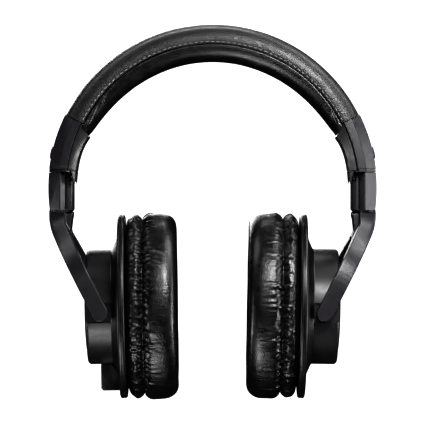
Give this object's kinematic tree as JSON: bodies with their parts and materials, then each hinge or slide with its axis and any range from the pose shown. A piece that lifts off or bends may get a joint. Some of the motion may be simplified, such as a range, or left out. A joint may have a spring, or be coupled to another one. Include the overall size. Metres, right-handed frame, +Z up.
{
  "type": "over-ear headphones",
  "caption": "Closed over-ear headphones: padded sprung headband, sliders, folding hinge links, swivelling fork yokes and tilting round cups with thick cushions.",
  "frame": {"origin": "middle of the headband pad's underside, where the headphones rest on a head", "axes": "+Z up; X from ear to ear, the cable inlet on the cup at -X; Y from front to back"},
  "size_m": [0.1774, 0.084, 0.2029],
  "materials": {
    "cover_leather": "satin",
    "pad_leather": "satin",
    "satin_plastic": "satin",
    "plate_plastic": "satin",
    "matt_plastic": "matte",
    "cap_plastic": "satin",
    "steel": "satin",
    "spring_steel": "satin",
    "brass": "satin",
    "magnet": "satin",
    "film": "gloss",
    "foam": "matte"
  },
  "bodies": {
    "headband": {"headband_cover": "cover_leather", "headband_pad": "pad_leather", "headband_frame": "matt_plastic", "headband_spring": "spring_steel", "left_slider_housing_outer": "satin_plastic", "left_slider_housing_inner": "plate_plastic", "left_housing_screw_lower": "steel", "left_housing_screw_upper": "steel", "left_slider_guide": "matt_plastic", "left_detent_spring": "spring_steel", "right_slider_housing_outer": "satin_plastic", "right_slider_housing_inner": "plate_plastic", "right_housing_screw_lower": "steel", "right_housing_screw_upper": "steel", "right_slider_guide": "matt_plastic", "right_detent_spring": "spring_steel"},
    "left_slider": {"left_slider_strip": "steel", "left_slider_end_block": "plate_plastic", "left_fold_pin": "steel"},
    "left_link": {"left_hinge_link": "satin_plastic", "left_swivel_pin": "steel"},
    "left_yoke": {"left_yoke": "satin_plastic", "left_swivel_washer": "matt_plastic", "left_pivot_pin_front": "steel", "left_pivot_pin_rear": "steel"},
    "left_cup": {"left_cup_housing": "matt_plastic", "left_outer_cap": "cap_plastic", "left_baffle": "matt_plastic", "left_ear_pad": "pad_leather", "left_pivot_bush_front": "brass", "left_pivot_bush_rear": "brass", "left_driver_frame": "matt_plastic", "left_driver_magnet": "magnet", "left_diaphragm": "film", "left_driver_grille": "matt_plastic", "left_damping_foam": "foam", "left_port_housing": "matt_plastic", "left_jack_socket": "brass"},
    "right_slider": {"right_slider_strip": "steel", "right_slider_end_block": "plate_plastic", "right_fold_pin": "steel"},
    "right_link": {"right_hinge_link": "satin_plastic", "right_swivel_pin": "steel"},
    "right_yoke": {"right_yoke": "satin_plastic", "right_swivel_washer": "matt_plastic", "right_pivot_pin_front": "steel", "right_pivot_pin_rear": "steel"},
    "right_cup": {"right_cup_housing": "matt_plastic", "right_outer_cap": "cap_plastic", "right_baffle": "matt_plastic", "right_ear_pad": "pad_leather", "right_pivot_bush_front": "brass", "right_pivot_bush_rear": "brass", "right_driver_frame": "matt_plastic", "right_driver_magnet": "magnet", "right_diaphragm": "film", "right_driver_grille": "matt_plastic", "right_damping_foam": "foam"}
  },
  "joints": [
    {"name": "left_slide", "type": "slide", "parent": "headband", "child": "left_slider", "axis": [-0.2079, 0, -0.9781], "range_m": [0, 0.025]},
    {"name": "left_fold", "type": "hinge", "parent": "left_slider", "child": "left_link", "pos_m": [-0.0766, 0, -0.0646], "axis": [0, -1, 0], "range_deg": [0, 17]},
    {"name": "left_swivel", "type": "hinge", "parent": "left_link", "child": "left_yoke", "pos_m": [-0.0793, 0, -0.0816], "axis": [0, 0, -1], "range_deg": [-90, 8]},
    {"name": "left_tilt", "type": "hinge", "parent": "left_yoke", "child": "left_cup", "pos_m": [-0.0596, 0, -0.1361], "axis": [0, -1, 0], "range_deg": [-12, 12]},
    {"name": "right_slide", "type": "slide", "parent": "headband", "child": "right_slider", "axis": [0.2079, 0, -0.9781], "range_m": [0, 0.025]},
    {"name": "right_fold", "type": "hinge", "parent": "right_slider", "child": "right_link", "pos_m": [0.0766, 0, -0.0646], "axis": [0, -1, 0], "range_deg": [-17, 0]},
    {"name": "right_swivel", "type": "hinge", "parent": "right_link", "child": "right_yoke", "pos_m": [0.0793, 0, -0.0816], "axis": [0, 0, -1], "range_deg": [-8, 90]},
    {"name": "right_tilt", "type": "hinge", "parent": "right_yoke", "child": "right_cup", "pos_m": [0.0596, 0, -0.1361], "axis": [0, -1, 0], "range_deg": [-12, 12]}
  ]
}
